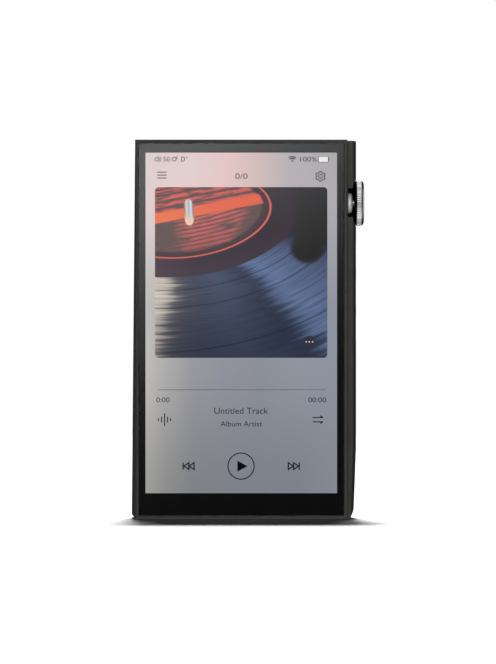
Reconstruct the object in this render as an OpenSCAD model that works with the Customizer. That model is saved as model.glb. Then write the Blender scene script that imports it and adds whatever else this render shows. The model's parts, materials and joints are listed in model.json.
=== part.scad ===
// Digital audio player with a touch screen, a push-and-turn volume knob and three side buttons.
// It stands on its bottom face: +Z is up, the screen faces -Y and the knob points to +X.
// The origin is the centre of the bottom face, at half the thickness. Millimetres.

/* [Body] */
// Width of the front frame
frame_w = 69; // [68.6:0.1:70]
// Height of the front frame, from the bottom face to the top
frame_h = 123.3; // [123.3:0.1:125]
// Thickness of the player
body_t = 15.5; // [15.5:0.1:16.5]
// Depth of the front frame in front of the body shell
frame_step = 1.65; // [1.6:0.05:1.8]
// Bevel on the front frame's outer edge
frame_bevel = 0.35; // [0.2:0.05:0.5]
// How much lower the shell's top is than the frame's
shell_drop = 0.3; // [0.1:0.05:0.4]
// Width of the flat ledge beside the frame, on the knob side
ledge_w = 1.81; // [1.6:0.05:2]
// How far the rounded knob side stands out past the ledge
bulge_rise = 1.2; // [0.8:0.05:1.25]
// Height at which the knob side starts to draw in towards the bottom
taper_z = 23; // [18:1:30]
// Angle at which it draws in
taper_deg = 2.1; // [1:0.1:3]
// How far the other side stands out past the frame at the bottom
flare_w = 1.15; // [0.8:0.05:1.2]
// Bevel along the shell's rear edges
rear_bevel = 1.65; // [1.4:0.05:1.8]
// Depth of the shadow groove around the frame
groove_t = 0.5; // [0.3:0.05:0.7]

/* [Display] */
// Width of the lit screen
screen_w = 62.26; // [60:0.01:63]
// Height of the lit screen
screen_h = 110.7; // [108:0.1:111]
// Height of the lit screen's lower edge above the bottom face
screen_z = 8.4; // [8:0.1:9]
// Thickness of the cover glass
glass_t = 0.9; // [0.7:0.05:1]
// Width of the frame's rim around the glass
rim_w = 0.95; // [0.85:0.05:1]
// Gap between the rim and the glass
glass_gap = 0.15; // [0.1:0.05:0.2]

/* [Knob] */
// Height of the knob's axis
knob_z = 102.9; // [102:0.1:104]
// Radius of the knob's head
knob_r = 7.4; // [7:0.1:7.5]
// Thickness of the knob's head
knob_t = 3.2; // [3:0.1:3.6]
// Radius of the pocket cut into the shell around the knob
pocket_r = 7.65; // [7.6:0.05:7.7]
// Thickness of the collar between the shell and the knob
collar_t = 1.66; // [1.4:0.02:1.8]
// Radius of the collar
collar_r = 3.4; // [3.2:0.1:3.8]
// Radius of the knob's shaft
shaft_r = 2; // [1.8:0.1:2.2]
// Travel of the knob when it is pressed
knob_travel = 0.4; // [0.2:0.05:0.4]
// Number of grooves around the knob's rim
knurl_count = 72; // [48:4:96]
// Radial clearance of a turning shaft
run_gap = 0.05; // [0.03:0.01:0.08]

/* [Buttons] */
// Height of the top button's middle
button_z = 86; // [85:0.5:87]
// Distance from one button to the next
button_pitch = 12; // [11:0.5:12]
// Length of a button
button_len = 9; // [8:0.5:9]
// Width of a button
button_w = 3.2; // [2.8:0.1:3.4]
// Travel of a button
button_travel = 0.3; // [0.2:0.05:0.3]

/* [Sockets] */
// Bore radius of a 3.5 mm socket
bore_35 = 1.8; // [1.78:0.01:1.85]
// Bore radius of the 4.4 mm socket
bore_44 = 2.25; // [2.23:0.01:2.3]
// Length of the 3.5 mm headphone socket's bore
depth_35 = 14.3; // [14:0.1:15]
// Length of the 4.4 mm headphone socket's bore
depth_44 = 18.8; // [18:0.1:19]
// How far a socket's mouth sits inside the outer wall
mouth_inset = 0.3; // [0.2:0.05:0.4]

/* [Hidden] */
$fn = 64;

// Planes through the thickness, from the front to the rear
front_y = -body_t / 2;
rear_y = body_t / 2;
step_y = front_y + frame_step;
glass_y = front_y;
tape_y = glass_y + glass_t;
panel_y = tape_y + 0.1;
plate_y = panel_y + 1.65;
foam_y = plate_y + 0.25;
floor_y = foam_y + 0.45;
inner_y = floor_y + 1;
cell_y = inner_y + 0.6;
board_y = inner_y + 5;
board_t = 1;
board_rear_y = board_y + board_t;
wall_y = rear_y - 1.9;
recess_y = wall_y + 1;
cover_y = recess_y + 0.1;
flex_t = 0.15;

// Outline of the body
half_w = frame_w / 2;
ledge_x = half_w + ledge_w;
side_x = ledge_x + bulge_rise;
half_chord = -step_y;
side_radius = (half_chord * half_chord + bulge_rise * bulge_rise) / (2 * bulge_rise);
shell_h = frame_h - shell_drop;
left_x = -half_w - 0.03 - flare_w;
wall_t = 1.2;
cavity_x = half_w - wall_t;
cavity_z0 = 1.4;
cavity_z1 = shell_h - 1.4;
groove_w = 0.19;
past = 6;

// Display stack
glass_x = half_w - rim_w - glass_gap;
glass_z0 = rim_w + glass_gap;
glass_z1 = frame_h - rim_w - glass_gap;
skirt_gap = 0.1;
skirt_t = 0.8;
skirt_x = cavity_x - skirt_gap;
skirt_z0 = cavity_z0 + skirt_gap;
skirt_z1 = cavity_z1 - skirt_gap;
panel_x = skirt_x - skirt_t - 0.3;
panel_z0 = skirt_z0 + 4.4;
panel_z1 = skirt_z1 - skirt_t - 0.5;
flex_slot = [9, 4.2, 6.2];

// Screws and the posts they go into
screw_r = 0.7;
screw_head_r = 1.25;
screw_head_t = 0.55;
post_r = 1.9;
chassis_posts = [[-31, 119.3], [31, 119.3], [-31, 81], [31, 47], [-31, 3.6], [31, 3.6]];
board_posts = [[-28, 86.5], [20.5, 86.5], [20.5, 117.5], [-27, 22.5], [27, 22.5], [-12.5, 4.6]];
bracket_points = [[31.4, 68], [31.4, 80]];

// Boards
main_x = [-32.5, 24.2];
main_z = [83.5, 120.9];
audio_x = [-32.3, 32.3];
audio_z = [2, 25.5];
post_room = 2.4;
link_x = 14;
can_x = [-17, 10];
can_z = [91, 113];
can_t = 3;
can_wall = 0.2;
antenna_x = [-26, -4];
antenna_z = [109, 118.5];

// Knob axis
pocket_x = half_w + groove_w;
collar_x = pocket_x + collar_t;
knob_x = collar_x + knob_travel + 0.05;
knob_end = knob_x + knob_t;
step_x = knob_x - knob_travel - 0.2;
recess_t = 0.8;
boss_x = knob_x + recess_t - knob_travel - 0.1;
boss_y = 1;
boss_r = 6.1;
bushing_r = 3;
bushing_x = cavity_x - 2.1;
encoder_x = [24.5, 31];
encoder_half = [3.2, 5.5];
rotor_r = 2.7;
inlay_r = 5.8;
inlay_t = 0.5;
shaft_x = encoder_x[0] + 2.9;
shaft_end = knob_end - inlay_t - 0.9;

// Buttons
button_face = side_x - 0.07;
shoulder_x = cavity_x + 1;
flange_t = 0.6;
stem_r = 0.8;
key_board_x = [28.6, 29.4];
switch_x = 31.2;
stem_reach = 0.4;
key_z = [55, 93];

// Sockets
jack_y = 0.6;
jack_35_x = -20;
jack_44_x = 16;
usb_y = board_y - 1.6;
usb_size = [8.94, 3.2, 7.8];
digital_x = -22;
digital_y = 0.1;
card_z = [89.6, 102.8];
card_y = [board_rear_y, board_rear_y + 1.4];

// Battery
cell_x = [-31.5, 26.5];
cell_z = [27.5, 78.5];
cell_t = 7;

// A box between two opposite corners
module block(lo, hi) {
    translate(lo) cube(hi - lo);
}

// Round rods along each axis
module rod_x(r, from, to, y, z) {
    translate([from, y, z]) rotate([0, 90, 0]) cylinder(r = r, h = to - from);
}
module rod_y(r, from, to, x, z) {
    translate([x, from, z]) rotate([-90, 0, 0]) cylinder(r = r, h = to - from);
}
module rod_z(r, from, to, x, y) {
    translate([x, y, from]) cylinder(r = r, h = to - from);
}

// A prism with round ends that runs through along X, and is longest along Z
module slot_x(len, w, from, to, z) {
    side = (len - w) / 2;
    block([from, -w / 2, z - side], [to, w / 2, z + side]);
    for (s = [-1, 1]) rod_x(w / 2, from, to, 0, z + s * side);
}

// A prism with round ends that runs through along Z, and is longest along X
module slot_z(len, w, from, to, x, y) {
    side = (len - w) / 2;
    block([x - side, y - w / 2, from], [x + side, y + w / 2, to]);
    for (s = [-1, 1]) rod_z(w / 2, from, to, x + s * side, y);
}

// A plate that faces the screen side, with round corners, between two depths
module plate(x, z, r, from, to) {
    translate([0, to, 0]) rotate([90, 0, 0]) linear_extrude(to - from) {
        translate([x[0] + r, z[0]]) square([x[1] - x[0] - 2 * r, z[1] - z[0]]);
        translate([x[0], z[0] + r]) square([x[1] - x[0], z[1] - z[0] - 2 * r]);
        for (cx = [x[0] + r, x[1] - r], cz = [z[0] + r, z[1] - r]) translate([cx, cz]) circle(r);
    }
}

// A plate that faces the screen side, with its four front edges bevelled
module bevelled_plate(x, z, from, to, c) {
    intersection() {
        translate([0, 0, z[0]]) linear_extrude(z[1] - z[0]) polygon([
            [x[0], to],
            [x[0], from + c],
            [x[0] + c, from],
            [x[1] - c, from],
            [x[1], from + c],
            [x[1], to]
        ]);
        translate([x[0], 0, 0]) rotate([90, 0, 90]) linear_extrude(x[1] - x[0]) polygon([
            [to, z[0]],
            [from + c, z[0]],
            [from, z[0] + c],
            [from, z[1] - c],
            [from + c, z[1]],
            [to, z[1]]
        ]);
    }
}

// A component that stands on the front or the rear face of the boards: at is [x, z] of its middle
module on_front(at, size) {
    block([at[0] - size[0] / 2, board_y - size[2], at[1] - size[1] / 2],
          [at[0] + size[0] / 2, board_y, at[1] + size[1] / 2]);
}
module on_rear(at, size) {
    block([at[0] - size[0] / 2, board_rear_y, at[1] - size[1] / 2],
          [at[0] + size[0] / 2, board_rear_y + size[2], at[1] + size[1] / 2]);
}

// A pan-head screw along Y, with its head towards the rear and a cross slot in it
module screw(head_y, len, at) {
    difference() {
        union() {
            rod_y(screw_head_r, head_y, head_y + screw_head_t, at[0], at[1]);
            rod_y(screw_r, head_y - len, head_y, at[0], at[1]);
        }
        for (turn = [0, 90]) translate([at[0], head_y + screw_head_t, at[1]]) rotate([0, turn, 0])
            cube([1.6, 0.6, 0.3], center = true);
    }
}

// ---- Front frame and display ----

module front_frame() {
    color("dimgray")
    difference() {
        union() {
            bevelled_plate([-half_w, half_w], [0, frame_h], front_y, step_y, frame_bevel);
            block([-skirt_x, step_y, skirt_z0], [skirt_x, inner_y, skirt_z1]);
            for (p = chassis_posts) rod_y(post_r, inner_y, wall_y, p[0], p[1]);
            for (p = board_posts) rod_y(post_r, inner_y, board_y, p[0], p[1]);
        }
        // seat of the glass
        block([-half_w + rim_w, front_y - 1, rim_w], [half_w - rim_w, panel_y, frame_h - rim_w]);
        // well of the display
        block([-skirt_x + skirt_t, panel_y - 1, skirt_z0 + skirt_t],
              [skirt_x - skirt_t, floor_y, skirt_z1 - skirt_t]);
        // slot for the display's flex
        block([-flex_slot[0], floor_y - 1, flex_slot[1]], [flex_slot[0], inner_y + 1, flex_slot[2]]);
        for (p = chassis_posts) rod_y(screw_r, 1, wall_y + 1, p[0], p[1]);
        for (p = board_posts) rod_y(screw_r, inner_y + 1, board_y + 1, p[0], p[1]);
        for (p = bracket_points) rod_y(screw_r, floor_y - 1, inner_y + 1, p[0], p[1]);
    }
}

module cover_glass() {
    glass_bevel = 0.15;
    color("black", 0.5)
    bevelled_plate([-glass_x, glass_x], [glass_z0, glass_z1], glass_y, tape_y, glass_bevel);
}

// Black tape that holds the glass and masks the border of the screen
module glass_tape() {
    inset = 0.1;
    color("black")
    difference() {
        block([-glass_x + inset, tape_y, glass_z0 + inset], [glass_x - inset, panel_y, glass_z1 - inset]);
        block([-screen_w / 2, tape_y - 1, screen_z], [screen_w / 2, panel_y + 1, screen_z + screen_h]);
    }
}

module display_panel() {
    color("lightsteelblue")
    block([-panel_x, panel_y, panel_z0], [panel_x, plate_y, panel_z1]);
}

module display_plate() {
    color("silver")
    difference() {
        block([-panel_x, plate_y, panel_z0], [panel_x, foam_y, panel_z1]);
        for (z = [panel_z0 + 12, panel_z1 - 12]) rod_y(3, plate_y - 1, foam_y + 1, 0, z);
    }
}

module display_foam() {
    border = 6;
    color("darkslategray")
    difference() {
        block([-panel_x + 1, foam_y, panel_z0 + 1], [panel_x - 1, floor_y, panel_z1 - 1]);
        block([-panel_x + border, foam_y - 1, panel_z0 + border],
              [panel_x - border, floor_y + 1, panel_z1 - border]);
    }
}

// Flex circuit from the display's lower edge, through the slot and up to the main board
module display_flex() {
    half = 7;
    low = flex_slot[1] + 0.4;
    tail_y = inner_y + 0.05;
    top = main_z[0] + 2.3;
    plug_y = board_y - 1;
    color("darkgoldenrod") {
        block([-half, plate_y - 0.6, low], [half, plate_y - 0.6 + flex_t, panel_z0]);
        block([-half, plate_y - 0.6, low], [half, tail_y + flex_t, low + flex_t]);
        block([-half, tail_y, low], [half, tail_y + flex_t, top]);
        block([-half, tail_y, top - flex_t], [half, plug_y, top]);
        block([-half, plug_y - flex_t, top - flex_t], [half, plug_y, top + 3]);
    }
}

// ---- Shell and rear cover ----

// The shell's cross-section as if only its knob side had a shape: a shallow arc
module side_round() {
    translate([side_x - side_radius, 0]) union() {
        circle(side_radius, $fn = 256);
        translate([-2 * half_w, -body_t]) square([2 * half_w, 2 * body_t]);
    }
}

// Cross-section of the shell: a rounded knob side, a flat other side and two rear bevels
module shell_profile() {
    intersection() {
        polygon([
            [-half_w, step_y],
            [side_x + 1, step_y],
            [side_x + 1, rear_y - rear_bevel - bulge_rise - 1],
            [ledge_x - rear_bevel, rear_y],
            [left_x + rear_bevel, rear_y],
            [left_x, rear_y - rear_bevel],
            [left_x, step_y + (-half_w - left_x)]
        ]);
        side_round();
    }
}

// The knob side's lower end draws in: what that takes off
module taper_cut() {
    difference() {
        block([half_w - 1, -body_t, -1], [side_x + 2, body_t, taper_z + past]);
        translate([side_x, 0, taper_z]) rotate([0, taper_deg, 0]) translate([-side_x, 0, -2 * taper_z])
            linear_extrude(3 * taper_z) side_round();
    }
}

// The other side widens towards the bottom: what stays outside its slanted face
module flare_cut() {
    lean = atan(flare_w / shell_h);
    translate([left_x, 0, 0]) rotate([0, lean, 0])
        block([-past, -body_t, -past], [0, body_t, shell_h + past]);
}

// Bevels at the two bottom corners
module corner_cuts() {
    right = [ledge_x - 0.92, 24.7];
    left = [left_x + 1.29, -40.4];
    translate([right[0], -body_t, 0]) rotate([0, right[1], 0]) translate([0, 0, -past])
        cube([past, 2 * body_t, 2 * past]);
    translate([left[0], -body_t, 0]) rotate([0, left[1], 0]) translate([-past, 0, -past])
        cube([past, 2 * body_t, 2 * past]);
}

// The knob's pocket. Behind the collar a step and a half ring stay, which close it towards the
// rear; the hollow back of the knob's head runs over the half ring.
module knob_pocket() {
    difference() {
        rod_x(pocket_r, pocket_x, side_x + past, 0, knob_z);
        difference() {
            union() {
                rod_x(pocket_r + 1, pocket_x - 1, step_x, 0, knob_z);
                rod_x(boss_r, pocket_x - 1, boss_x, 0, knob_z);
            }
            block([cavity_x, -body_t, knob_z - 2 * pocket_r], [side_x, boss_y, knob_z + 2 * pocket_r]);
            rod_x(collar_r + 0.1, cavity_x, side_x, 0, knob_z);
        }
    }
}

// Openings for the knob and the three buttons in the right wall
module knob_side_cuts() {
    knob_pocket();
    rod_x(bushing_r, cavity_x - 1, side_x + past, 0, knob_z);
    for (i = [0:2]) {
        slot_x(button_len + 0.3, button_w + 0.3, cavity_x - 1, side_x + past, button_z - i * button_pitch);
        slot_x(button_len + 2, button_w + 2, cavity_x - 1, shoulder_x, button_z - i * button_pitch);
    }
}

// Openings for the sockets at the bottom, the top and the left
module socket_cuts() {
    rod_z(3.05, -1, cavity_z0 + 1, jack_35_x, jack_y);
    rod_z(3.85, -1, cavity_z0 + 1, jack_44_x, jack_y);
    rod_z(3.05, cavity_z1 - 1, shell_h + 1, digital_x, digital_y);
    slot_z(usb_size[0] + 0.3, usb_size[1] + 0.3, cavity_z1 - 1, shell_h + 1, 0, usb_y);
    block([left_x - 1, card_y[0] + 0.2, card_z[0] + 0.8],
          [-cavity_x + 1, card_y[1] - 0.2, card_z[1] - 0.8]);
}

module body_shell() {
    color([0.17, 0.17, 0.16])
    difference() {
        linear_extrude(shell_h) shell_profile();
        taper_cut();
        flare_cut();
        corner_cuts();
        block([-cavity_x, -body_t, cavity_z0], [cavity_x, wall_y, cavity_z1]);
        // shadow groove beside the frame
        block([half_w - 0.1, step_y - 1, -1], [half_w + groove_w, step_y + groove_t, shell_h + 1]);
        knob_side_cuts();
        socket_cuts();
        // seat of the rear cover
        plate([-half_w + 1.3, half_w - 1.3], [1.6, shell_h - 1.6], 2, recess_y, rear_y + 1);
        for (p = chassis_posts) {
            rod_y(screw_r + 0.1, wall_y - 1, recess_y + 1, p[0], p[1]);
            rod_y(screw_head_r + 0.15, recess_y - 0.6, recess_y + 1, p[0], p[1]);
        }
        block([antenna_x[0], wall_y - 1, antenna_z[0]], [antenna_x[1], recess_y + 1, antenna_z[1]]);
    }
}

module rear_cover() {
    color("black")
    plate([-half_w + 1.4, half_w - 1.4], [1.7, shell_h - 1.7], 1.9, cover_y, rear_y);
}

module rear_tape() {
    color("dimgray")
    difference() {
        plate([-half_w + 1.8, half_w - 1.8], [2.1, shell_h - 2.1], 1.5, recess_y, cover_y);
        block([-half_w + 6.5, recess_y - 1, 8], [half_w - 6.5, cover_y + 1, shell_h - 20]);
        for (p = chassis_posts) rod_y(1.8, recess_y - 1, cover_y + 1, p[0], p[1]);
    }
}

module chassis_screws() {
    color("silver")
    for (p = chassis_posts) screw(recess_y - 0.6, 4.2, p);
}

// Plastic window in the metal rear wall, which carries the antenna
module antenna_carrier() {
    lip = 1;
    gap = 0.1;
    color("darkslategray") {
        block([antenna_x[0] + gap, wall_y, antenna_z[0] + gap],
              [antenna_x[1] - gap, recess_y, antenna_z[1] - gap]);
        block([antenna_x[0] - lip, wall_y - 0.5, antenna_z[0] - lip],
              [antenna_x[1] + lip, wall_y, antenna_z[1] + lip]);
    }
}

// ---- Main board ----

module main_board() {
    color("darkgreen")
    difference() {
        block([main_x[0], board_y, main_z[0]], [main_x[1], board_rear_y, main_z[1]]);
        for (p = chassis_posts) rod_y(post_room, board_y - 1, board_rear_y + 1, p[0], p[1]);
        for (p = board_posts) rod_y(screw_r + 0.1, board_y - 1, board_rear_y + 1, p[0], p[1]);
        // cut-out for the digital output socket
        block([digital_x - 3.3, board_y - 1, 107.4], [digital_x + 3.3, board_rear_y + 1, main_z[1] + 1]);
    }
}

module board_screws() {
    color("silver") {
        for (p = board_posts) screw(board_rear_y, 4, p);
        for (p = bracket_points) screw(inner_y + 0.4, 1.4, p);
    }
}

module shield_can() {
    color("silver")
    difference() {
        block([can_x[0], board_y - can_t, can_z[0]], [can_x[1], board_y, can_z[1]]);
        block([can_x[0] + can_wall, board_y - can_t + can_wall, can_z[0] + can_wall],
              [can_x[1] - can_wall, board_y + 1, can_z[1] - can_wall]);
    }
}

module processor() {
    color("black") on_front([-9, 104], [13, 13, 1.2]);
}

module memory_chips() {
    color("black") {
        on_front([3.5, 104], [9, 12, 1]);
        on_front([-9, 94.4], [12, 4.8, 1]);
    }
}

module logic_chip() {
    color("black") on_rear([-9, 97], [12, 12, 1.3]);
}

module clock_oscillators() {
    color("silver")
    for (z = [93, 98]) on_rear([3.5, z], [5, 3.2, 1.3]);
}

module wifi_module() {
    color("silver") on_rear([11, 109], [14, 13, 2]);
}

module usb_c_shell() {
    wall = 0.3;
    bottom = shell_h - mouth_inset - usb_size[2];
    color("silver")
    difference() {
        slot_z(usb_size[0], usb_size[1], bottom, bottom + usb_size[2], 0, usb_y);
        slot_z(usb_size[0] - 2 * wall, usb_size[1] - 2 * wall, bottom - 1, shell_h, 0, usb_y);
    }
}

module usb_c_tongue() {
    bottom = shell_h - mouth_inset - usb_size[2];
    inner = [usb_size[0] - 0.6, usb_size[1] - 0.6];
    color("black") {
        slot_z(inner[0], inner[1], bottom, bottom + 1.6, 0, usb_y);
        block([-3.35, usb_y - 0.35, bottom + 1.6], [3.35, usb_y + 0.35, bottom + usb_size[2] - 0.6]);
    }
}

// A socket's metal sleeve, standing on its flange: down is true when its mouth faces down
module sleeve(bore, outer, flange, len, mouth_z, x, y, down) {
    translate([x, y, mouth_z]) mirror([0, 0, down ? 0 : 1])
    difference() {
        union() {
            cylinder(r = outer, h = len);
            cylinder(r = flange, h = 1.2);
        }
        translate([0, 0, -1]) cylinder(r = bore, h = len + 2);
    }
}

// A socket's plastic housing: a block with a seat for the sleeve and a closed end
module housing(half, outer, from, to, seat, x, y) {
    difference() {
        block([x - half[0], y - half[1], from], [x + half[0], y + half[1], to]);
        rod_z(outer, seat[0], seat[1], x, y);
    }
}

module digital_out_barrel() {
    color("gold")
    sleeve(bore_35, 2.5, 3, 12, shell_h - mouth_inset, digital_x, digital_y, false);
}

module digital_out_housing() {
    mouth = shell_h - mouth_inset;
    color("black")
    housing([3.1, 2.8], 2.5, mouth - 14, mouth - 1.3, [mouth - 12, mouth], digital_x, digital_y);
}

module card_slot_cover() {
    sheet = 0.2;
    x = [-cavity_x + 0.1, -18.5];
    color("silver")
    difference() {
        block([x[0], card_y[0], card_z[0]], [x[1], card_y[1], card_z[1]]);
        block([x[0] - 1, card_y[0] - 1, card_z[0] + sheet], [x[1] + 1, card_y[1] - sheet, card_z[1] - sheet]);
    }
}

// Plastic base with a row of spring contacts
module card_slot_base() {
    x = [-23, -18.7];
    color("black") {
        block([x[0], card_y[0], card_z[0] + 0.25], [x[1], card_y[0] + 0.35, card_z[1] - 0.25]);
        block([x[1] - 1, card_y[0], card_z[0] + 0.25], [x[1], card_y[1] - 0.25, card_z[1] - 0.25]);
        for (i = [0:7]) block([x[0] + 0.5, card_y[0] + 0.35, card_z[0] + 1.7 + 1.1 * i],
                              [x[1] - 1, card_y[0] + 0.55, card_z[0] + 2.3 + 1.1 * i]);
    }
}

// ---- Audio board ----

module audio_board() {
    color("darkgreen")
    difference() {
        block([audio_x[0], board_y, audio_z[0]], [audio_x[1], board_rear_y, audio_z[1]]);
        for (p = chassis_posts) rod_y(post_room, board_y - 1, board_rear_y + 1, p[0], p[1]);
        for (p = board_posts) rod_y(screw_r + 0.1, board_y - 1, board_rear_y + 1, p[0], p[1]);
        block([jack_35_x - 3.3, board_y - 1, 0], [jack_35_x + 3.3, board_rear_y + 1, 16.3]);
        block([jack_44_x - 4.5, board_y - 1, 0], [jack_44_x + 4.5, board_rear_y + 1, 21]);
    }
}

module jack_35_barrel() {
    color("gold")
    sleeve(bore_35, 2.5, 3, depth_35, mouth_inset, jack_35_x, jack_y, true);
}

module jack_35_housing() {
    color("black")
    housing([3.1, 2.9], 2.5, mouth_inset + 1.3, mouth_inset + depth_35 + 1.4,
            [0, mouth_inset + depth_35], jack_35_x, jack_y);
}

module jack_44_barrel() {
    color("gold")
    sleeve(bore_44, 3.2, 3.8, depth_44, mouth_inset, jack_44_x, jack_y, true);
}

module jack_44_housing() {
    color("black")
    housing([4.3, 3.7], 3.2, mouth_inset + 1.3, mouth_inset + depth_44 + 1.5,
            [0, mouth_inset + depth_44], jack_44_x, jack_y);
}

// Solder terminals beside a socket, lying on the board's front face
module terminals(x, half, heights) {
    for (z = heights, s = [-1, 1]) {
        near = x + s * half;
        far = x + s * (half + 1.6);
        block([min(near, far), board_y - 0.25, z], [max(near, far), board_y, z + 1]);
    }
}

module jack_35_terminals() {
    color("gold") terminals(jack_35_x, 3.1, [4, 12]);
}

module jack_44_terminals() {
    color("gold") terminals(jack_44_x, 4.3, [5, 11, 17]);
}

module dac_chips() {
    color("black")
    for (x = [-10, 7]) on_front([x, 14.5], [6, 6, 1]);
}

module amp_chips() {
    color("black")
    for (z = [8.5, 13, 17.5]) on_front([25.5, z], [4, 3.2, 1.2]);
}

module output_relays() {
    color("ivory")
    for (z = [9, 16.5]) on_front([-28, z], [6.4, 6, 3.6]);
}

module filter_capacitors() {
    color("goldenrod")
    for (i = [0:4]) on_rear([-10 + 3.9 * i, 20.5], [2.6, 4.4, 1.9]);
}

// Sockets that the flexes and the battery lead plug into
module board_connectors() {
    color("ivory") {
        on_front([0, main_z[0] + 3.8], [15, 2.8, 1]);
        on_front([15, main_z[0] + 1.9], [5.6, 3.4, 2.6]);
        on_rear([link_x, main_z[0] + 2.3], [8.4, 2.8, 0.9]);
        on_rear([link_x, audio_z[1] - 1.9], [8.4, 2.8, 0.9]);
    }
}

// Flex circuit behind the battery, from the audio board to the main board
module board_flex() {
    half = 4;
    low = audio_z[1] - 0.6;
    high = main_z[0] + 1;
    plug_y = board_rear_y + 0.9;
    run_y = cell_y + cell_t + 0.1;
    color("darkgoldenrod") {
        block([link_x - half, plug_y, low - 2.4], [link_x + half, plug_y + flex_t, low + flex_t]);
        block([link_x - half, plug_y, low], [link_x + half, run_y + flex_t, low + flex_t]);
        block([link_x - half, run_y, low], [link_x + half, run_y + flex_t, high]);
        block([link_x - half, plug_y, high - flex_t], [link_x + half, run_y + flex_t, high]);
        block([link_x - half, plug_y, high - flex_t], [link_x + half, plug_y + flex_t, high + 2.4]);
    }
}

// ---- Battery ----

module battery_cell() {
    color("silver")
    plate(cell_x, cell_z, 1.5, cell_y, cell_y + cell_t);
}

module battery_tape() {
    color("ivory")
    for (x = [[-28, -11], [11, 24]]) block([x[0], inner_y, cell_z[0] + 3], [x[1], cell_y, cell_z[1] - 3]);
}

module battery_board() {
    color("darkgreen")
    block([-12, cell_y + 0.6, cell_z[1]], [22, cell_y + 5, cell_z[1] + 0.8]);
}

module battery_lead() {
    top = main_z[0] + 0.2;
    color("firebrick")
    for (i = [-1:1]) rod_z(0.4, cell_z[1] + 0.8, top, 15 + 1.6 * i, board_y - 1.3);
}

// ---- Side buttons ----

module key_bracket() {
    foot_t = 0.4;
    color("silver")
    difference() {
        union() {
            block([key_board_x[0] - 0.6, inner_y, 57], [key_board_x[0], 2.9, 89]);
            for (p = bracket_points) block([key_board_x[0] - 0.6, inner_y, p[1] - 2],
                                           [cavity_x - 0.3, inner_y + foot_t, p[1] + 2]);
        }
        for (p = bracket_points) rod_y(screw_r, inner_y - 1, inner_y + 1, p[0], p[1]);
    }
}

module key_board() {
    color("darkgreen")
    block([key_board_x[0], inner_y + 0.5, key_z[0]], [key_board_x[1], 2.8, key_z[1]]);
}

module key_switches() {
    color("dimgray")
    for (i = [0:2]) {
        z = button_z - i * button_pitch;
        difference() {
            block([key_board_x[1], -1.6, z - 2.6], [switch_x, 1.6, z + 2.6]);
            rod_x(stem_r + 0.1, switch_x - stem_reach - button_travel - 0.1, switch_x + 1, 0, z);
        }
    }
}

// A button: cap through the wall, flange behind the shoulder, stem that reaches the switch
module button(z) {
    slot_x(button_len, button_w, shoulder_x - 0.3, button_face, z);
    slot_x(button_len + 1.6, button_w + 1.6, shoulder_x - 0.05 - flange_t, shoulder_x - 0.05, z);
    rod_x(stem_r, switch_x - stem_reach, shoulder_x, 0, z);
}

module button_previous() {
    color("dimgray") button(button_z);
}

module button_play() {
    color("dimgray") button(button_z - button_pitch);
}

module button_next() {
    color("dimgray") button(button_z - 2 * button_pitch);
}

// ---- Volume knob and encoder ----

// Turns a profile, drawn as radius against distance along X, around the knob's axis
module turned() {
    translate([0, 0, knob_z]) rotate([0, 90, 0]) rotate_extrude() children();
}

// Threaded bushing that holds the encoder, with a domed collar between the shell and the knob
module knob_bushing() {
    edge_r = 0.6;
    dome_t = collar_t - edge_r;
    dome_drop = collar_r - shaft_r;
    color("silver")
    difference() {
        turned() {
            translate([0, bushing_x]) square([bushing_r, pocket_x - bushing_x]);
            translate([0, pocket_x]) polygon([
                [0, 0],
                for (t = [0:15:90]) [collar_r - edge_r * (1 - sin(t)), edge_r * (1 - cos(t))],
                for (t = [10:10:90]) [collar_r - dome_drop * (1 - cos(t)), edge_r + dome_t * sin(t)],
                [0, collar_t]
            ]);
        }
        rod_x(shaft_r + run_gap, bushing_x - 1, collar_x + 1, 0, knob_z);
        // seat of the seal
        rod_x(shaft_r + 0.55, pocket_x - 1, pocket_x, 0, knob_z);
    }
}

module bushing_nut() {
    flat = 3.2;
    color("silver")
    difference() {
        intersection() {
            rod_x(4.3, cavity_x - 1.1, cavity_x, 0, knob_z);
            block([0, -flat, knob_z - 6], [cavity_x, flat, knob_z + 6]);
        }
        rod_x(bushing_r, 0, cavity_x + 1, 0, knob_z);
    }
}

module shaft_seal() {
    color("black")
    difference() {
        rod_x(shaft_r + 0.55, pocket_x - 1, pocket_x, 0, knob_z);
        rod_x(shaft_r + 0.03, pocket_x - 2, pocket_x + 1, 0, knob_z);
    }
}

module encoder_housing() {
    color("dimgray")
    difference() {
        block([encoder_x[0], -encoder_half[0], knob_z - encoder_half[1]],
              [encoder_x[1], encoder_half[0], knob_z + encoder_half[1]]);
        rod_x(rotor_r + 0.1, encoder_x[0] + 0.6, encoder_x[1] - 0.8, 0, knob_z);
        rod_x(shaft_r + run_gap, encoder_x[0] + 1, encoder_x[1] + 1, 0, knob_z);
    }
}

// The part of the encoder that is pushed in with the shaft but doesn't turn
module encoder_plunger() {
    back = encoder_x[0] + 0.6 + knob_travel + 0.1;
    color("ivory")
    difference() {
        rod_x(rotor_r, back, encoder_x[0] + 2.8, 0, knob_z);
        rod_x(shaft_r * 0.5 + run_gap, back + 0.6, encoder_x[0] + 3, 0, knob_z);
    }
}

// Steel shaft with a pivot at the encoder end and a toothed rotor that the detent rides on
module knob_shaft() {
    color("silver")
    difference() {
        union() {
            rod_x(shaft_r, shaft_x, shaft_end, 0, knob_z);
            rod_x(shaft_r * 0.5, encoder_x[0] + 1.9, shaft_x, 0, knob_z);
            rod_x(rotor_r - 0.1, shaft_x, shaft_x + 1.2, 0, knob_z);
        }
        for (i = [0:11]) translate([0, 0, knob_z]) rotate([i * 30, 0, 0])
            rod_x(0.3, shaft_x - 1, shaft_x + 1.3, 0, rotor_r - 0.1);
        rod_x(0.6, shaft_end - 2.4, shaft_end + 1, 0, knob_z);
    }
}

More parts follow.
